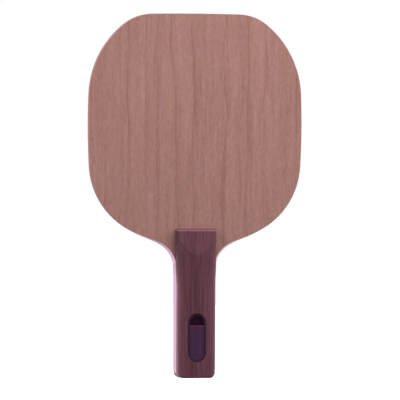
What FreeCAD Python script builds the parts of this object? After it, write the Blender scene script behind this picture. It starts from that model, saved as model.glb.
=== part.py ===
"""Table tennis blade: seven wooden plies with a rounded square head, two handle scales and a badge insert.

The blade stands on its butt. The origin is the middle of the butt, +Z runs up the handle to the top of the
head, +X to the right as seen from the front, and -Y points out of the front face. Sizes are in millimetres.
"""

import FreeCAD, Part
import os
from math import atan2, cos, degrees, radians, sin, sqrt

Vector = FreeCAD.Vector

# Blade outline, seen from the front
overall_length = 254.2
head_width = 150.9
head_length = 163.1  # top of the head to the foot of its lower arc
crown_radius = 1500.0  # top edge
corner_reach = 44.5  # head side to the place where the top edge starts to turn
corner_radius = 32.0
cheek_radius = 66.0  # between the corner and the side
side_radius = 550.0
widest_drop = 77.3  # top of the head down to its widest place
lower_corner_radius = 53.5
lower_arc_radius = 95.5
shoulder_radius = 50.8  # wide hollow curve from the head into the neck
neck_radius = 19.2  # tighter curve from there to the tang
neck_turn = 59.0  # degrees that the neck curve turns before the wide curve takes over

# Tang, the part of the plies that the handle scales are glued to
tang_width = 29.2
tang_ledge = 1.25  # how far the tang stands out past a scale on each side
tang_corner_radius = 7.0

# Sanded edge of the plies
edge_ease = 0.35  # round the head
bevel_shoulder_radius = 24.0  # wide hollow curve at the face, tighter so that the bevel stays broad
bevel_depth = 1.2

# Plies, from a face to the middle
face_veneer = 0.6
cross_ply = 0.6
long_ply = 1.2
core_ply = 2.0

# Handle scales
handle_length = 103.3
scale_thickness = 8.4
scale_crown_radius = 35.0
scale_shoulder_radius = 4.5  # long edges of the crown
scale_side_ease = 0.3  # how far the shoulder arcs would run on past the widest side
shoulder_flare = 0.75  # how far the scale stands out past the grip on each side at the head end
grip_height = 62.0  # top of the parallel grip
shoulder_height = 82.0  # where the flare is reached
scale_edge_radius = 1.2  # rim, where the crown meets the sides and the butt
scale_corner_radius = 4.0
facet_length = 17.2  # sloped thumb rest at the head end
facet_drop = 3.25
end_bevel = 0.9
pocket_ease = 0.25  # rounding of the pocket's mouth

# Badge insert in the front scale
badge_length = 34.0
badge_width = 13.1
badge_height = 28.0  # butt to the middle of the badge
badge_recess = 0.9  # tray rim below the top of the crown
tray_depth = 2.4
tray_rim = 1.3
tray_clearance = 0.15
plate_thickness = 0.4
plate_recess = 0.25  # plate below the tray rim
plate_clearance = 0.1
well_height = 6.9  # top of the tray opening down to the straight edge of the well
well_depth = 5.0  # tray rim to the floor of the well
well_wall = 0.9
tray_ease = 0.2  # rounding of the rim's edges
plate_ease = 0.1

# Rubber sheets start this far above the scales
sheet_gap = 2.0

blade_half = face_veneer + cross_ply + long_ply + core_ply / 2
grip_half = tang_width / 2 - tang_ledge
reach = 2 * (overall_length + head_width)  # larger than the blade every way, for cutting tools


def point_towards(start, end, distance):
    """The point at a distance from start on the way to end."""
    return start + (end - start).normalize() * distance


def circles_meet(centre_a, radius_a, centre_b, radius_b):
    """The two points where two circles in the XZ plane cross."""
    apart = (centre_b - centre_a).Length
    along = (radius_a**2 - radius_b**2 + apart**2) / (2 * apart)
    aside = sqrt(radius_a**2 - along**2)
    forward = (centre_b - centre_a) / apart
    sideways = Vector(-forward.z, 0, forward.x)
    foot = centre_a + forward * along
    return foot + sideways * aside, foot - sideways * aside


def arc_edge(start, end, centre):
    """The shorter arc from start to end round a centre."""
    radius = (start - centre).Length
    middle = centre + ((start - centre) + (end - centre)).normalize() * radius
    return Part.Arc(start, middle, end).toShape()


def mirrored(point):
    return Vector(-point.x, point.y, point.z)


def half_outline(inset, ledge, shoulder):
    """Right half of the blade's edge, from the top edge down to the butt, as (start, end, centre) runs.

    The head's arcs keep their centres and lose the inset, and the tang loses the ledge on each side.
    Shoulder is the radius of the wide hollow curve. A run with no centre is straight.
    """
    top = overall_length
    crown_centre = Vector(0, 0, top - crown_radius)
    crown_end_x = head_width / 2 - corner_reach
    crown_end = crown_centre + Vector(crown_end_x, 0, sqrt(crown_radius**2 - crown_end_x**2))
    corner_centre = point_towards(crown_end, crown_centre, corner_radius)
    side_centre = Vector(head_width / 2 - side_radius, 0, top - widest_drop)
    cheek_centres = circles_meet(
        corner_centre, cheek_radius - corner_radius, side_centre, side_radius - cheek_radius
    )
    cheek_centre = min(cheek_centres, key=lambda c: c.x + c.z)
    foot = top - head_length
    lower_centre = Vector(0, 0, foot + lower_arc_radius)
    lower_corner_centres = circles_meet(
        lower_centre, lower_arc_radius - lower_corner_radius, side_centre, side_radius - lower_corner_radius
    )
    lower_corner_centre = max(lower_corner_centres, key=lambda c: c.x - c.z)
    tang_half = tang_width / 2 - ledge
    neck = neck_radius + ledge
    neck_to_shoulder = Vector(cos(radians(neck_turn)), 0, -sin(radians(neck_turn))) * (shoulder - neck)
    shoulder_x = tang_half + neck + neck_to_shoulder.x
    shoulder_reach = lower_arc_radius - inset + shoulder
    shoulder_z = lower_centre.z - sqrt(shoulder_reach**2 - shoulder_x**2)
    shoulder_centre = Vector(shoulder_x, 0, shoulder_z)
    neck_centre = shoulder_centre - neck_to_shoulder
    tang_corner = tang_corner_radius - ledge
    tang_corner_centre = Vector(tang_half - tang_corner, 0, tang_corner)

    corner_start = point_towards(crown_centre, crown_end, crown_radius - inset)
    cheek_start = point_towards(cheek_centre, corner_centre, cheek_radius - inset)
    side_start = point_towards(side_centre, cheek_centre, side_radius - inset)
    side_end = point_towards(side_centre, lower_corner_centre, side_radius - inset)
    lower_start = point_towards(lower_centre, lower_corner_centre, lower_arc_radius - inset)
    shoulder_start = point_towards(lower_centre, shoulder_centre, lower_arc_radius - inset)
    neck_start = point_towards(shoulder_centre, neck_centre, shoulder)
    neck_end = Vector(tang_half, 0, neck_centre.z)
    tang_end = Vector(tang_half, 0, tang_corner)
    butt_start = Vector(tang_half - tang_corner, 0, 0)
    return [
        (corner_start, cheek_start, corner_centre),
        (cheek_start, side_start, cheek_centre),
        (side_start, side_end, side_centre),
        (side_end, lower_start, lower_corner_centre),
        (lower_start, shoulder_start, lower_centre),
        (shoulder_start, neck_start, shoulder_centre),
        (neck_start, neck_end, neck_centre),
        (neck_end, tang_end, None),
        (tang_end, butt_start, tang_corner_centre),
    ]


def blade_outline(y, inset, ledge, shoulder):
    """Closed outline of the whole blade at one depth."""
    right = half_outline(inset, ledge, shoulder)
    left = []
    for start, end, centre in reversed(right):
        left.append((mirrored(end), mirrored(start), centre and mirrored(centre)))
    crown_centre = Vector(0, 0, overall_length - crown_radius)
    crown = (mirrored(right[0][0]), right[0][0], crown_centre)
    butt = (right[-1][1], mirrored(right[-1][1]), None)
    edges = []
    for start, end, centre in [crown] + right + [butt] + left:
        edges.append(arc_edge(start, end, centre) if centre else Part.LineSegment(start, end).toShape())
    wire = Part.Wire(edges)
    wire.translate(Vector(0, y, 0))
    return wire


def blade_blank():
    """All seven plies pressed together and sanded, with the neck and tang bevelled front and back."""
    edge_y = blade_half - bevel_depth
    face = blade_outline(-blade_half, edge_ease, tang_ledge, bevel_shoulder_radius)
    edge = blade_outline(-edge_y, 0.0, 0.0, shoulder_radius)
    front = Part.makeLoft([face, edge], True, True)
    middle = Part.Face(edge).extrude(Vector(0, 2 * edge_y, 0))
    back = front.mirror(Vector(0, 0, 0), Vector(0, 1, 0))
    return front, middle, back


def slab(low_y, high_y, low_z=-overall_length, high_z=2 * overall_length):
    """A cutting block between two depths and two heights."""
    block = Part.makeBox(reach, high_y - low_y, high_z - low_z)
    block.translate(Vector(-reach / 2, low_y, low_z))
    return block


def plies():
    """The seven plies by name, each with the full outline of the blade."""
    front, middle, back = blade_blank()
    stack = [
        ("front_face_veneer", face_veneer, front),
        ("front_cross_ply", cross_ply, front),
        ("front_long_ply", long_ply, middle),
        ("core_ply", core_ply, middle),
        ("back_long_ply", long_ply, middle),
        ("back_cross_ply", cross_ply, back),
        ("back_face_veneer", face_veneer, back),
    ]
    made = {}
    low_y = -blade_half
    for name, thickness, blank in stack:
        made[name] = blank.common(slab(low_y, low_y + thickness))
        low_y += thickness
    for name in ("front_face_veneer", "back_face_veneer"):
        made[name] = with_sheet_line(made[name])
    return made


def with_sheet_line(veneer):
    """The veneer with its face divided where the rubber sheet ends, so the playing area is its own face."""
    line_z = handle_length + sheet_gap
    playing = veneer.common(slab(-reach, reach, low_z=line_z))
    handle = veneer.common(slab(-reach, reach, high_z=line_z))
    return playing.fuse(handle)


flare_half = grip_half + shoulder_flare
shoulder_arc_x = flare_half + scale_side_ease - scale_shoulder_radius
shoulder_arc_y = scale_crown_radius - sqrt(
    (scale_crown_radius - scale_shoulder_radius) ** 2 - shoulder_arc_x**2
)  # centre of a shoulder arc below the top of the crown


def scale_plan():
    """Outline of a handle scale: a parallel grip with rounded butt corners, flared a little at the head."""
    corner = scale_corner_radius
    ease_height = (shoulder_height - grip_height) / 2
    butt_start = Vector(grip_half - corner, 0, 0)
    grip_start = Vector(grip_half, 0, corner)
    grip_end = Vector(grip_half, 0, grip_height)
    flare_end = Vector(flare_half, 0, shoulder_height)
    head_end = Vector(flare_half, 0, handle_length)
    flare = Part.BezierCurve()
    ease = Vector(0, 0, ease_height)
    flare.setPoles([grip_end, grip_end + ease, flare_end - ease, flare_end])
    right = [
        arc_edge(butt_start, grip_start, Vector(grip_half - corner, 0, corner)),
        Part.LineSegment(grip_start, grip_end).toShape(),
        flare.toShape(),
        Part.LineSegment(flare_end, head_end).toShape(),
    ]
    left = [edge.mirror(Vector(0, 0, 0), Vector(1, 0, 0)) for edge in right]
    butt = Part.LineSegment(mirrored(butt_start), butt_start).toShape()
    head = Part.LineSegment(head_end, mirrored(head_end)).toShape()
    return Part.Wire(Part.__sortEdges__([butt] + right + [head] + left))


def crown_top(x):
    """Y of a front scale's crowned top at a distance from its middle."""
    crown_end_x = shoulder_arc_x * scale_crown_radius / (scale_crown_radius - scale_shoulder_radius)
    if abs(x) < crown_end_x:
        drop = scale_crown_radius - sqrt(scale_crown_radius**2 - x**2)
    else:
        drop = shoulder_arc_y - sqrt(scale_shoulder_radius**2 - (abs(x) - shoulder_arc_x) ** 2)
    return -blade_half - scale_thickness + drop


def crown_section():
    """Cross section of a front scale, a little wider than the scale: a crown between two shoulder arcs."""
    top_y = -blade_half - scale_thickness
    crown_centre = Vector(0, top_y + scale_crown_radius, 0)
    arc_centre = Vector(shoulder_arc_x, top_y + shoulder_arc_y, 0)
    side_x = shoulder_arc_x + scale_shoulder_radius
    crown_end = point_towards(crown_centre, arc_centre, scale_crown_radius)
    side_start = Vector(side_x, arc_centre.y, 0)
    side_end = Vector(side_x, -blade_half, 0)
    crown = Part.Arc(mirrored(crown_end), Vector(0, top_y, 0), crown_end).toShape()
    right = [arc_edge(crown_end, side_start, arc_centre), Part.LineSegment(side_start, side_end).toShape()]
    left = [edge.mirror(Vector(0, 0, 0), Vector(1, 0, 0)) for edge in right]
    base = Part.LineSegment(side_end, mirrored(side_end)).toShape()
    return Part.Wire(Part.__sortEdges__([crown, base] + right + left))


def is_on_crown_rim(edge):
    """Whether an edge of the uncut scale is one of those where the crown meets the sides or the butt."""
    middle = edge.valueAt((edge.FirstParameter + edge.LastParameter) / 2)
    ends = [vertex.Point for vertex in edge.Vertexes]
    on_top = all(abs(point.y - crown_top(point.x)) < 0.01 for point in ends + [middle])
    at_head = all(point.z > handle_length - 0.01 for point in ends)
    runs_along_crown = middle.z > scale_corner_radius and abs(middle.x) < grip_half - 0.01
    return on_top and not at_head and not runs_along_crown


def sloped_cutter(start_z, start_y, end_z, end_y):
    """A block over the plane through two points of the scale's long section, on its outer side."""
    slope = degrees(atan2(end_y - start_y, end_z - start_z))
    block = Part.makeBox(reach, reach, 2 * reach)
    block.translate(Vector(-reach / 2, -reach, -reach))
    block.rotate(Vector(0, 0, 0), Vector(1, 0, 0), -slope)
    block.translate(Vector(0, start_y, start_z))
    return block


def plain_scale():
    """A handle scale on the front of the blade: crowned, with rounded edges and a sloped thumb rest."""
    plan = Part.Face(scale_plan())
    plan.translate(Vector(0, -blade_half, 0))
    block = plan.extrude(Vector(0, -scale_thickness, 0))
    crown = Part.Face(crown_section()).extrude(Vector(0, 0, handle_length))
    body = block.common(crown)
    rim = [edge for edge in body.Edges if is_on_crown_rim(edge)]
    body = body.makeFillet(scale_edge_radius, rim)
    facet_start = handle_length - facet_length
    facet_end_y = crown_top(0) + facet_drop
    body = body.cut(sloped_cutter(facet_start, crown_top(0), handle_length, facet_end_y))
    bevel_start_y = facet_end_y - end_bevel * facet_drop / facet_length
    bevel = sloped_cutter(handle_length - end_bevel, bevel_start_y, handle_length, facet_end_y + end_bevel)
    return body.cut(bevel)


def pill(width, length, low_y, high_y):
    """A block with round ends at the badge's place, between two depths."""
    radius = width / 2
    low_z = badge_height - length / 2 + radius
    high_z = badge_height + length / 2 - radius
    places = ((-radius, low_z), (-radius, high_z), (radius, high_z), (radius, low_z))
    corners = [Vector(x, 0, z) for x, z in places]
    edges = [
        Part.LineSegment(corners[0], corners[1]).toShape(),
        Part.Arc(corners[1], Vector(0, 0, high_z + radius), corners[2]).toShape(),
        Part.LineSegment(corners[2], corners[3]).toShape(),
        Part.Arc(corners[3], Vector(0, 0, low_z - radius), corners[0]).toShape(),
    ]
    face = Part.Face(Part.Wire(edges))
    face.translate(Vector(0, low_y, 0))
    return face.extrude(Vector(0, high_y - low_y, 0))


rim_y = crown_top(0) + badge_recess
tray_floor_y = rim_y + tray_depth
opening_width = badge_width - 2 * (tray_clearance + tray_rim)
opening_length = badge_length - 2 * (tray_clearance + tray_rim)
well_edge_z = badge_height + opening_length / 2 - well_height
plate_back_y = rim_y + plate_recess + plate_thickness


def well(grow, low_y, high_y):
    """The D-shaped well at the upper end of the badge, grown on every side."""
    shape = pill(opening_width + 2 * grow, opening_length + 2 * grow, low_y, high_y)
    return shape.common(slab(low_y, high_y, low_z=well_edge_z - grow))


def eased_at(shape, y, radius):
    """The shape with every edge that lies at one depth rounded."""
    rim = []
    for edge in shape.Edges:
        if all(abs(edge.valueAt(place).y - y) < 0.01 for place in edge.ParameterRange):
            rim.append(edge)
    return shape.makeFillet(radius, rim)


def badge_tray():
    """Moulded tray: a rim round the edge, a step for the plate and a deep D-shaped well at the upper end."""
    floor_y = rim_y + well_depth + well_wall
    body = pill(badge_width - 2 * tray_clearance, badge_length - 2 * tray_clearance, rim_y, tray_floor_y)
    body = body.fuse(well(well_wall, rim_y, floor_y)).removeSplitter()
    body = body.cut(well(0, rim_y, rim_y + well_depth))
    seat = pill(opening_width, opening_length, rim_y, plate_back_y)
    return eased_at(body.cut(seat), rim_y, tray_ease)


def badge_plate():
    """Thin plate on the tray's step, with a straight edge at the well."""
    low_y = plate_back_y - plate_thickness
    plate = pill(
        opening_width - 2 * plate_clearance, opening_length - 2 * plate_clearance, low_y, plate_back_y
    )
    plate = plate.common(slab(low_y, plate_back_y, high_z=well_edge_z))
    return eased_at(plate, low_y, plate_ease)


def badge_pocket():
    """What is milled out of the front scale for the tray and its well."""
    top_y = crown_top(0) - 1.0
    floor_y = rim_y + well_depth + well_wall
    pocket = pill(badge_width, badge_length, top_y, tray_floor_y)
    return pocket.fuse(well(well_wall + tray_clearance, top_y, floor_y))


def is_on_pocket_mouth(edge):
    """Whether an edge of the front scale is one of those where the pocket meets the crown."""
    middle = edge.valueAt((edge.FirstParameter + edge.LastParameter) / 2)
    on_crown = abs(middle.y - crown_top(middle.x)) < 0.01
    in_width = abs(middle.x) < badge_width / 2 + 0.01
    in_length = abs(middle.z - badge_height) < badge_length / 2 + 0.01
    return on_crown and in_width and in_length


def front_handle_scale():
    scale = plain_scale().cut(badge_pocket())
    return scale.makeFillet(pocket_ease, [edge for edge in scale.Edges if is_on_pocket_mouth(edge)])


def back_handle_scale():
    return plain_scale().mirror(Vector(0, 0, 0), Vector(0, 1, 0))


def main():
    nodes = plies()
    nodes["front_handle_scale"] = front_handle_scale()
    nodes["back_handle_scale"] = back_handle_scale()
    nodes["badge_tray"] = badge_tray()
    nodes["badge_plate"] = badge_plate()
    os.makedirs("parts", exist_ok=True)
    for name, shape in nodes.items():
        solids = shape.Solids
        print(f"{name}: {len(solids)} solid, {shape.Volume:.1f} mm3, valid {shape.isValid()}")
        solid = solids[0] if len(solids) == 1 else Part.makeCompound(solids)
        solid.exportStep(f"parts/{name}.step")


main()
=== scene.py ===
import math
import bpy
from mathutils import Matrix, Vector


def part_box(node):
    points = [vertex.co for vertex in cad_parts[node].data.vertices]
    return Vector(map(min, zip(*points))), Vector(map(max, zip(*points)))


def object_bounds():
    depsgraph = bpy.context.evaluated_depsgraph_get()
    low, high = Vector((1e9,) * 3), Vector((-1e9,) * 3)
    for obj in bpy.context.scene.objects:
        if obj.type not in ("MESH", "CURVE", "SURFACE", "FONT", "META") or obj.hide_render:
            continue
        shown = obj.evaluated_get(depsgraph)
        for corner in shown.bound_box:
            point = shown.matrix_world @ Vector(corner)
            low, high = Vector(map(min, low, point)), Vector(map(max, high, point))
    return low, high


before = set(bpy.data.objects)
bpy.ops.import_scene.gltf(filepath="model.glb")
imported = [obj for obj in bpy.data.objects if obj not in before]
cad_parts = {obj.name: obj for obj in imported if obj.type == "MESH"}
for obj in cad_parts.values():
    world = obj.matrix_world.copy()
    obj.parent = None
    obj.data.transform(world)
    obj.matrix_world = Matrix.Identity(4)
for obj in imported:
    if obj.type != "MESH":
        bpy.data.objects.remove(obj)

cad_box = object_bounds()


# Camera. The paddle stands on its butt with its face to the lens, which is a little to the paddle's left, so
# that the left side of the handle shows as a thin strip. The lens is far off, so there is little perspective.
MM = 0.001
view_width = 279.4 * MM
camera_distance = 3.0
camera_azimuth = math.radians(-10.0)
camera_elevation = math.radians(0.5)
camera_roll = math.radians(0.2)
aim_right = 3.69 * MM
aim_up = -3.07 * MM

backward = Vector((
    math.sin(camera_azimuth) * math.cos(camera_elevation),
    -math.cos(camera_azimuth) * math.cos(camera_elevation),
    math.sin(camera_elevation),
))
lens_data = bpy.data.cameras.new("camera")
lens_data.lens = lens_data.sensor_width * camera_distance / view_width
camera = bpy.data.objects.new("camera", lens_data)
bpy.context.collection.objects.link(camera)
turn = backward.to_track_quat("Z", "Y").to_matrix().to_4x4()
aim = (cad_box[0] + cad_box[1]) / 2 + turn.to_3x3() @ Vector((aim_right, aim_up, 0))
roll = Matrix.Rotation(camera_roll, 4, "Z")
camera.matrix_world = Matrix.Translation(aim + backward * camera_distance) @ turn @ roll
bpy.context.scene.camera = camera


# Face veneers. Limba, quarter cut, 0.6 mm thick, the outermost ply of each face, pressed on, sanded and
# thinly sealed. Its annual rings meet the face as nearly straight dark lines about 12 mm apart.
def linear(code):
    """A colour given as sRGB hex, in the linear light that shaders take."""
    parts = [int(code[place:place + 2], 16) / 255 for place in (1, 3, 5)]
    return tuple(p / 12.92 if p <= 0.04045 else ((p + 0.055) / 1.055) ** 2.4 for p in parts) + (1.0,)


def add(tree, kind, inputs=None, **settings):
    """A new node with its settings, and its inputs set to values or linked to the output of other nodes."""
    made = tree.nodes.new("ShaderNode" + kind)
    for name, value in settings.items():
        setattr(made, name, value)
    for name, value in (inputs or {}).items():
        if isinstance(value, bpy.types.Node):
            value = next(socket for socket in value.outputs if socket.enabled)
        if isinstance(value, bpy.types.NodeSocket):
            tree.links.new(value, made.inputs[name])
        else:
            made.inputs[name].default_value = value
    return made


def start_material(name):
    """A new material with its node tree, and the place on the piece in millimetres."""
    material = bpy.data.materials.new(name)
    material.use_nodes = True
    tree = material.node_tree
    tree.nodes.clear()
    metres = add(tree, "TexCoord").outputs["Object"]
    return material, tree, add(tree, "VectorMath", {0: metres, "Scale": 1 / MM}, operation="SCALE")


# Noise seldom leaves this span, which is stretched to run from 0 to 1.
noise_low = 0.32
noise_high = 0.68


def fibres(tree, place, size, detail=2.0, seed=0.0):
    """Streaks from 0 to 1, whose size along X, Y and Z is given in millimetres."""
    scaled = add(tree, "VectorMath", {0: place, 1: [1 / s for s in size]}, operation="MULTIPLY")
    moved = add(tree, "VectorMath", {0: scaled, 1: (seed, seed, seed)}, operation="ADD")
    noise = add(tree, "TexNoise", {"Vector": moved, "Scale": 1.0, "Detail": detail})
    return add(tree, "MapRange", {"Value": noise.outputs[0], "From Min": noise_low, "From Max": noise_high})


# Which way the surface turns, as the share of its normal that points out of the face.
still_face = 0.995
fully_edge = 0.96


def edge_mask(tree):
    """1 on the cut edges of a ply and 0 on its faces."""
    facing = add(tree, "SeparateXYZ", {0: add(tree, "TexCoord").outputs["Normal"]}).outputs["Y"]
    flat = add(tree, "Math", {0: facing}, operation="ABSOLUTE")
    return add(tree, "MapRange", {"Value": flat, "From Min": still_face, "From Max": fully_edge})


# The head's edge is sealed down to the neck, and bare from there. Heights in millimetres.
bare_to = 96.0
sealed_from = 103.0


def edge_colour(tree, place, bare, sealed):
    """Bare sanded wood on the neck and tang, sealed with the face on the head's edge above them."""
    height = add(tree, "SeparateXYZ", {0: place}).outputs["Z"]
    is_head = add(tree, "MapRange", {"Value": height, "From Min": bare_to, "From Max": sealed_from})
    return add(tree, "Mix", {0: is_head, 6: bare, 7: sealed}, data_type="RGBA").outputs[2]


# Each ring line: millimetres to the right of the middle at the top of the head and at ring_foot, and its
# strength. A line is sharp on its left, where a season's growth stopped, and fades out over ring_fall.
ring_lines = (
    (-65.0, -64.0, 0.4),
    (-47.2, -50.7, 1.0),
    (-37.2, -36.5, 0.5),
    (-27.3, -27.0, 0.8),
    (-17.4, -13.1, 0.9),
    (-1.8, -1.1, 0.9),
    (9.6, 10.2, 0.35),
    (21.3, 19.5, 1.0),
    (36.2, 34.4, 0.8),
    (48.6, 49.3, 0.8),
    (71.3, 70.6, 0.8),
)
ring_foot = 100
ring_rise = 0.5
ring_fall = 6.0
ring_power = 4.0
ring_wander = 1.8

# Sizes of the grain along X, Y and Z in millimetres.
limba_wander = (400, 400, 50)
limba_patches = (10, 10, 45)
limba_dashes = (0.8, 0.8, 4)
limba_streaks = (1.4, 1.4, 35)
limba_bands = (9, 9, 120)
limba_hues = (2.2, 2.2, 16)
limba_pores = (0.35, 0.35, 3)
limba_streak_share = 0.45
limba_band_share = 0.25
grain_depth = 0.05 * MM

veneer_light = linear("#a9827d")
veneer_dark = linear("#866058")
veneer_tan = linear("#997460")
veneer_ring = linear("#784a3f")
# The next colour is painted shade, for the dark line on the veneer just above the handle scale.
veneer_joint_shade = linear("#6d4a48")
veneer_bare_edge = linear("#edcae0")
veneer_sealed_edge = linear("#976c63")

# Painted shade: a thin dark line on the veneer just above the handle scale, where the scale meets the face,
# stands in for the contact shadow there.
joint_shade_reach = 1.1
joint_shade_full = 0.2
joint_shade_past_side = 0.4


def limba():
    # Limba, sanded with a fine grit and thinly sealed: matt, a dull rose brown with greyer and tanner
    # streaks. Real fibres and pores are 0.02 to 0.3 mm wide, too fine to show, and are drawn 0.35 to 1.4 mm
    # wide. The rings are at their real size.
    material, tree, place = start_material("limba_veneer_sanded")
    sides = add(tree, "SeparateXYZ", {0: place})
    head_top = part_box("front_face_veneer")[1][2] / MM

    ring = 0.0
    for order, (top, foot, strength) in enumerate(ring_lines):
        line = add(tree, "MapRange", {
            "Value": sides.outputs["Z"],
            "From Min": ring_foot,
            "From Max": head_top,
            "To Min": foot,
            "To Max": top,
        }, clamp=False)
        slow = fibres(tree, place, limba_wander, 1.0, 3.7 * order)
        wander = add(tree, "MapRange", {"Value": slow, "To Min": -ring_wander, "To Max": ring_wander})
        across = add(tree, "Math", {0: sides.outputs["X"], 1: wander}, operation="ADD")
        past = add(tree, "Math", {0: across, 1: line}, operation="SUBTRACT")
        rise = add(tree, "MapRange", {"Value": past, "From Min": -ring_rise, "From Max": 0})
        fall = add(tree, "MapRange", {
            "Value": past,
            "From Min": ring_fall,
            "From Max": 0,
            "To Max": strength ** (1 / ring_power),
        })
        tail = add(tree, "Math", {0: fall, 1: ring_power}, operation="POWER")
        band = add(tree, "Math", {0: rise, 1: tail}, operation="MULTIPLY")
        ring = add(tree, "Math", {0: ring, 1: band}, operation="MAXIMUM")
    patches = fibres(tree, place, limba_patches, 1.0, 8.0)
    fading = add(tree, "MapRange", {"Value": patches, "To Min": 0.2, "To Max": 0.6})
    ring = add(tree, "Math", {0: ring, 1: fading}, operation="MULTIPLY")

    dashes = fibres(tree, place, limba_dashes, 2.0, 2.0)
    streaks = fibres(tree, place, limba_streaks, 2.0)
    broad = fibres(tree, place, limba_bands, 2.0, 5.0)
    fine = add(tree, "Mix", {0: limba_streak_share, 2: dashes, 3: streaks})
    tone = add(tree, "Mix", {0: limba_band_share, 2: fine, 3: broad})
    wood = add(tree, "Mix", {0: tone, 6: veneer_dark, 7: veneer_light}, data_type="RGBA").outputs[2]
    hue = fibres(tree, place, limba_hues, 2.0, 12.0)
    browning = add(tree, "MapRange", {"Value": hue, "To Max": 0.4})
    browned = add(tree, "Mix", {0: browning, 6: wood, 7: veneer_tan}, data_type="RGBA").outputs[2]
    ringed = add(tree, "Mix", {0: ring, 6: browned, 7: veneer_ring}, data_type="RGBA").outputs[2]
    speck = fibres(tree, place, limba_pores, 2.0, 1.0)
    pore = add(tree, "MapRange", {"Value": speck, "From Min": 0.25, "From Max": 0.0, "To Max": 0.35})
    pored = add(tree, "Mix", {0: pore, 6: ringed, 7: veneer_ring}, data_type="RGBA").outputs[2]

    scale_side, _, scale_top = (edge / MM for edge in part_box("front_handle_scale")[1])
    # Painted contact shade: the veneer is darkened in a thin line just above the top of the handle scale.
    above = add(tree, "Math", {0: sides.outputs["Z"], 1: scale_top}, operation="SUBTRACT")
    aside = add(tree, "Math", {0: sides.outputs["X"]}, operation="ABSOLUTE")
    near = add(tree, "MapRange", {"Value": above, "From Min": joint_shade_reach, "From Max": joint_shade_full})
    within = add(tree, "MapRange", {
        "Value": aside,
        "From Min": scale_side + joint_shade_past_side,
        "From Max": scale_side,
    })
    joint_shade_mask = add(tree, "Math", {0: near, 1: within}, operation="MULTIPLY")
    joint_shaded = add(tree, "Mix", {0: joint_shade_mask, 6: pored, 7: veneer_joint_shade}, data_type="RGBA").outputs[2]
    edge = edge_colour(tree, place, veneer_bare_edge, veneer_sealed_edge)
    colour = add(tree, "Mix", {0: edge_mask(tree), 6: joint_shaded, 7: edge}, data_type="RGBA").outputs[2]

    rough = add(tree, "MapRange", {"Value": fine, "To Min": 0.55, "To Max": 0.65})
    relief = add(tree, "Math", {0: fine, 1: pore}, operation="SUBTRACT")
    bump = add(tree, "Bump", {"Height": relief, "Strength": 0.25, "Distance": grain_depth})
    shader = add(tree, "BsdfPrincipled", {
        "Base Color": colour,
        "Roughness": rough,
        "Normal": bump,
        "IOR": 1.45,
        "Specular IOR Level": 0.35,
    })
    add(tree, "OutputMaterial", {"Surface": shader})
    return material


veneer_finish = limba()
for name in ("front_face_veneer", "back_face_veneer"):
    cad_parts[name].material_slots[0].material = veneer_finish


# Inner plies. Ayous cross and long plies round a light kiri core, hot pressed with the veneers and only seen
# where the edge is sanded: pale bare wood on the neck and tang, and sealed with the face round the head.

# For each wood: its nodes, the size of its streaks in millimetres, and its bare and its sealed colour. The
# streaks run along X in the plies whose grain is seen lying across the handle.
ply_kinds = {
    "ayous_cross_grain": (("front_cross_ply", "back_cross_ply"), (40, 0.4, 0.5), "#ebc7dc", "#a0756e"),
    "ayous_long_grain": (("front_long_ply", "back_long_ply"), (0.6, 0.4, 40), "#d6b8cc", "#a37871"),
    "kiri_core": (("core_ply",), (60, 0.7, 0.9), "#d1b0c6", "#9c726c"),
}
glue_line = linear("#7d5a52")
glue_width = 0.09


def pale_ply(name, title, grain, bare, sealed):
    # Ayous or kiri, sanded: dry, matt and almost white, with fine streaks along the grain and a brown glue
    # line at both faces. Real fibres are under 0.1 mm wide and are drawn 0.4 to 0.9 mm wide, to show.
    material, tree, place = start_material(title)
    streak = fibres(tree, place, grain, 2.0)
    base = edge_colour(tree, place, linear(bare), linear(sealed))
    shade = add(tree, "MapRange", {"Value": streak, "To Min": 0.84, "To Max": 1.04})
    wood = add(tree, "VectorMath", {0: base, "Scale": shade}, operation="SCALE")

    depth = add(tree, "SeparateXYZ", {0: place}).outputs["Y"]
    low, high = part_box(name)
    from_front = add(tree, "Math", {0: depth, 1: low[1] / MM}, operation="SUBTRACT")
    from_back = add(tree, "Math", {0: high[1] / MM, 1: depth}, operation="SUBTRACT")
    nearest = add(tree, "Math", {0: from_front, 1: from_back}, operation="MINIMUM")
    glue = add(tree, "MapRange", {"Value": nearest, "From Min": glue_width, "From Max": 0, "To Max": 0.6})
    colour = add(tree, "Mix", {0: glue, 6: wood, 7: glue_line}, data_type="RGBA").outputs[2]
    bump = add(tree, "Bump", {"Height": streak, "Strength": 0.3, "Distance": grain_depth})
    shader = add(tree, "BsdfPrincipled", {
        "Base Color": colour,
        "Roughness": 0.65,
        "Normal": bump,
        "IOR": 1.45,
    })
    add(tree, "OutputMaterial", {"Surface": shader})
    return material


for title, (names, grain, bare, sealed) in ply_kinds.items():
    for name in names:
        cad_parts[name].material_slots[0].material = pale_ply(name, title, grain, bare, sealed)


# Handle scales. Rosewood, one glued on each side of the tang, shaped to a crown with rounded long edges and a
# sloped thumb rest, sanded and oiled. Fine straight grain runs the length of the handle.
scale_light = linear("#693f4b")
scale_mid = linear("#472630")
scale_dark = linear("#311821")
# The next two colours are painted light: the top end's painted highlight and the long edges' painted sheen.
scale_top_highlight = linear("#86616a")
scale_edge_sheen = linear("#855b6b")

# Painted light, in millimetres. A painted highlight lightens the scale just below its top end, where the
# end's bevel catches the light from above. A painted sheen lightens the long edges, faded in from the upper
# height down to the lower one and full below it, as these edges turn to the white walls; higher up, the
# blade's shoulders hide the walls.
top_highlight_reach = 1.2
top_highlight_full = 0.8
sheen_none = 88.0
sheen_full = 64.0

# Sizes of the grain along X, Y and Z in millimetres.
rosewood_streaks = (0.7, 5, 22)
rosewood_bands = (3.2, 12, 90)
rosewood_veins = (1.4, 8, 60)
rosewood_pores = (0.3, 0.6, 4)
rosewood_band_share = 0.3


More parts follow.
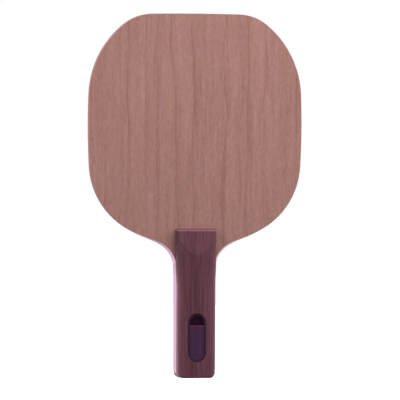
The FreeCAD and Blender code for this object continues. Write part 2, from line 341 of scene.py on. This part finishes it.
def rosewood():
    # Rosewood, oiled: a deep plum brown with a low satin gleam, close straight streaks, darker veins and open
    # pores, with a painted sheen on the long edges and a painted highlight at the top end. Real pores are 0.1
    # to 0.2 mm wide and are drawn 0.3 mm wide, so that they show.
    material, tree, place = start_material("rosewood_oiled")
    fine = fibres(tree, place, rosewood_streaks, 3.0)
    broad = fibres(tree, place, rosewood_bands, 2.0, 4.0)
    tone = add(tree, "Mix", {0: rosewood_band_share, 2: fine, 3: broad})
    wood = add(tree, "Mix", {0: tone, 6: scale_mid, 7: scale_light}, data_type="RGBA").outputs[2]
    veins = fibres(tree, place, rosewood_veins, 2.0, 9.0)
    vein = add(tree, "MapRange", {"Value": veins, "From Min": 0.35, "From Max": 0.0, "To Max": 0.4})
    veined = add(tree, "Mix", {0: vein, 6: wood, 7: scale_dark}, data_type="RGBA").outputs[2]
    speck = fibres(tree, place, rosewood_pores, 2.0, 1.0)
    pore = add(tree, "MapRange", {"Value": speck, "From Min": 0.25, "From Max": 0.0, "To Max": 0.6})
    pored = add(tree, "Mix", {0: pore, 6: veined, 7: scale_dark}, data_type="RGBA").outputs[2]

    height = add(tree, "SeparateXYZ", {0: place}).outputs["Z"]
    # Painted sheen: where the surface turns sideways, on the long edges below the shoulders, it is coloured
    # paler, as if it caught the white walls.
    facing = add(tree, "SeparateXYZ", {0: add(tree, "TexCoord").outputs["Normal"]}).outputs["X"]
    turned = add(tree, "Math", {0: facing}, operation="ABSOLUTE")
    side = add(tree, "MapRange", {"Value": turned, "From Min": 0.2, "From Max": 0.85, "To Max": 0.8})
    below_shoulder = add(tree, "MapRange", {"Value": height, "From Min": sheen_none, "From Max": sheen_full})
    edge_sheen = add(tree, "Math", {0: side, 1: below_shoulder}, operation="MULTIPLY")
    sheened = add(tree, "Mix", {0: edge_sheen, 6: pored, 7: scale_edge_sheen}, data_type="RGBA").outputs[2]
    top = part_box("front_handle_scale")[1][2] / MM
    # Painted highlight: the scale is coloured paler just below its top end, as if the end's bevel caught the
    # light from above.
    top_highlight = add(tree, "MapRange", {
        "Value": height,
        "From Min": top - top_highlight_reach,
        "From Max": top - top_highlight_full,
        "To Max": 0.5,
    })
    colour = add(tree, "Mix", {0: top_highlight, 6: sheened, 7: scale_top_highlight}, data_type="RGBA").outputs[2]

    rough = add(tree, "MapRange", {"Value": fine, "To Min": 0.45, "To Max": 0.58})
    relief = add(tree, "Math", {0: fine, 1: pore}, operation="SUBTRACT")
    bump = add(tree, "Bump", {"Height": relief, "Strength": 0.25, "Distance": grain_depth})
    shader = add(tree, "BsdfPrincipled", {
        "Base Color": colour,
        "Roughness": rough,
        "Normal": bump,
        "IOR": 1.5,
        "Specular IOR Level": 0.25,
    })
    add(tree, "OutputMaterial", {"Surface": shader})
    return material


scale_finish = rosewood()
for name in ("front_handle_scale", "back_handle_scale"):
    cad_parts[name].material_slots[0].material = scale_finish


# Badge tray. ABS, moulded with a fine matt texture, pressed and glued into the pocket of the front scale.
# Its rim is dark violet; its deep well lies in shade, and is coloured a brighter violet there as painted
# light, to lift it out of that shade.
tray_violet = linear("#2e1028")
tray_well_lifted = linear("#4a0b3b")
well_starts = 0.7
well_full = 1.4
spark_texture = (0.35, 0.35, 0.35)


def moulded_abs():
    # ABS from a spark-eroded mould: dark violet with a soft sheen, finely speckled. The real texture is about
    # 0.05 mm across and is drawn 0.35 mm across, so that it shows. The well is painted a brighter violet than
    # the rim, painted light that keeps some violet showing in its shade.
    material, tree, place = start_material("abs_moulded_violet")
    grain = fibres(tree, place, spark_texture, 2.0)
    depth = add(tree, "SeparateXYZ", {0: place}).outputs["Y"]
    rim_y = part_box("badge_tray")[0][1] / MM
    # Painted light: deeper than the rim, the well is coloured a brighter violet to lift it out of its shade.
    well_lift = add(tree, "MapRange", {
        "Value": depth,
        "From Min": rim_y + well_starts,
        "From Max": rim_y + well_full,
    })
    shade = add(tree, "MapRange", {"Value": grain, "To Min": 0.85, "To Max": 1.15})
    violet = add(tree, "VectorMath", {0: tray_violet[:3], "Scale": shade}, operation="SCALE")
    colour = add(tree, "Mix", {0: well_lift, 6: violet, 7: tray_well_lifted}, data_type="RGBA").outputs[2]
    bump = add(tree, "Bump", {"Height": grain, "Strength": 0.15, "Distance": grain_depth})
    shader = add(tree, "BsdfPrincipled", {
        "Base Color": colour,
        "Roughness": 0.5,
        "Normal": bump,
        "IOR": 1.5,
        "Specular IOR Level": 0.3,
    })
    add(tree, "OutputMaterial", {"Surface": shader})
    return material


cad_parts["badge_tray"].material_slots[0].material = moulded_abs()


# Badge plate. Polycarbonate, printed plum on its back and glued on the tray's step. A thin crimson line runs
# along its straight edge and two pinstripes down its length.
plate_plum = linear("#381d3d")
plate_crimson = linear("#6c1f3e")
line_width = 0.55
line_fade = 0.2

# Each pinstripe: millimetres to the right of the middle, half its width, and its strength.
pinstripes = ((2.3, 0.5, 0.3), (-3.0, 0.4, 0.06))
pinstripe_fade = 0.15
ink_cloud = (0.8, 0.8, 1.6)


def printed_plate():
    # Polycarbonate with ink behind it: smooth, glossier than the tray, and a plum with a faint cloud about
    # 1 mm across, as thinly rolled ink gives.
    material, tree, place = start_material("polycarbonate_printed_plum")
    cloud = fibres(tree, place, ink_cloud, 2.0)
    sides = add(tree, "SeparateXYZ", {0: place})
    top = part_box("badge_plate")[1][2] / MM
    ink = add(tree, "MapRange", {
        "Value": sides.outputs["Z"],
        "From Min": top - line_width - line_fade,
        "From Max": top - line_width,
    })
    for middle, half_width, strength in pinstripes:
        off = add(tree, "Math", {0: sides.outputs["X"], 1: middle}, operation="SUBTRACT")
        gap = add(tree, "Math", {0: off}, operation="ABSOLUTE")
        stripe = add(tree, "MapRange", {
            "Value": gap,
            "From Min": half_width + pinstripe_fade,
            "From Max": half_width,
            "To Max": strength,
        })
        ink = add(tree, "Math", {0: ink, 1: stripe}, operation="MAXIMUM")
    shade = add(tree, "MapRange", {"Value": cloud, "To Min": 0.85, "To Max": 1.15})
    plum = add(tree, "VectorMath", {0: plate_plum[:3], "Scale": shade}, operation="SCALE")
    colour = add(tree, "Mix", {0: ink, 6: plum, 7: plate_crimson}, data_type="RGBA").outputs[2]
    bump = add(tree, "Bump", {"Height": cloud, "Strength": 0.05, "Distance": 0.02 * MM})
    shader = add(tree, "BsdfPrincipled", {
        "Base Color": colour,
        "Roughness": 0.3,
        "Normal": bump,
        "IOR": 1.5,
        "Specular IOR Level": 0.4,
    })
    add(tree, "OutputMaterial", {"Surface": shader})
    return material


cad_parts["badge_plate"].material_slots[0].material = printed_plate()


# Studio. A plain white floor that the butt stands on, white walls all round, a small softbox over the head
# and a large one on each side.
floor_size = 3.0
floor_mesh = bpy.data.meshes.new("floor")
corners = [(x * floor_size / 2, y * floor_size / 2, 0) for x, y in ((-1, -1), (1, -1), (1, 1), (-1, 1))]
floor_mesh.from_pydata(corners, [], [(0, 1, 2, 3)])
floor = bpy.data.objects.new("floor", floor_mesh)
bpy.context.collection.objects.link(floor)
floor_finish, floor_tree, _ = start_material("paper_white")
paper = add(floor_tree, "BsdfPrincipled", {
    "Base Color": linear("#f4f2f3"),
    "Roughness": 0.9,
    "Emission Color": (1, 1, 1, 1),
    "Emission Strength": 0.4,
})
add(floor_tree, "OutputMaterial", {"Surface": paper})
floor_mesh.materials.append(floor_finish)
floor.visible_glossy = False
floor.visible_diffuse = False

# The walls are seen as pure white. As light they are faintly pink, dimmer in front of the paddle than beside
# and behind it, and brighter above it than below.
wall_white = (1, 1, 1, 1)
wall_tint = linear("#fff6fb")
world = bpy.data.worlds.new("studio")
bpy.context.scene.world = world
world.use_nodes = True
sky = world.node_tree
sky.nodes.clear()
is_camera = add(sky, "LightPath").outputs["Is Camera Ray"]
direction = add(sky, "SeparateXYZ", {0: add(sky, "TexCoord").outputs["Generated"]})
beside = add(sky, "MapRange", {
    "Value": direction.outputs["Y"],
    "From Min": -0.8,
    "From Max": -0.1,
    "To Min": 0.35,
})
above = add(sky, "MapRange", {
    "Value": direction.outputs["Z"],
    "From Min": -0.5,
    "To Min": 0.85,
    "To Max": 1.4,
})
wall_light = add(sky, "Math", {0: beside, 1: above}, operation="MULTIPLY")
brightness = add(sky, "Mix", {0: is_camera, 2: wall_light, 3: 1.0})
tint = add(sky, "Mix", {0: is_camera, 6: wall_tint, 7: wall_white}, data_type="RGBA").outputs[2]
walls = add(sky, "Background", {"Color": tint, "Strength": brightness})
add(sky, "OutputWorld", {"Surface": walls})

# Each softbox: its place and the point it is aimed at in metres, its side in metres, its power in watts and
# its colour.
softboxes = {
    "softbox_key": ((0.20, -0.30, 0.56), (0, 0, 0.17), 0.2, 1.4, "#fff6ee"),
    "softbox_left": ((-1.3, -0.6, 0.9), (0, 0, 0.13), 0.6, 11.0, "#fffbff"),
    "softbox_right": ((1.3, -0.6, 0.9), (0, 0, 0.13), 0.6, 13.0, "#fffbff"),
}
for name, (spot, target, size, power, lamp_tint) in softboxes.items():
    lamp = bpy.data.lights.new(name, "AREA")
    lamp.size = size
    lamp.energy = power
    lamp.color = linear(lamp_tint)[:3]
    holder = bpy.data.objects.new(name, lamp)
    bpy.context.collection.objects.link(holder)
    holder.location = spot
    holder.rotation_euler = (Vector(spot) - Vector(target)).to_track_quat("Z", "Y").to_euler()
    holder.visible_camera = False
bpy.context.scene.view_settings.view_transform = "Standard"
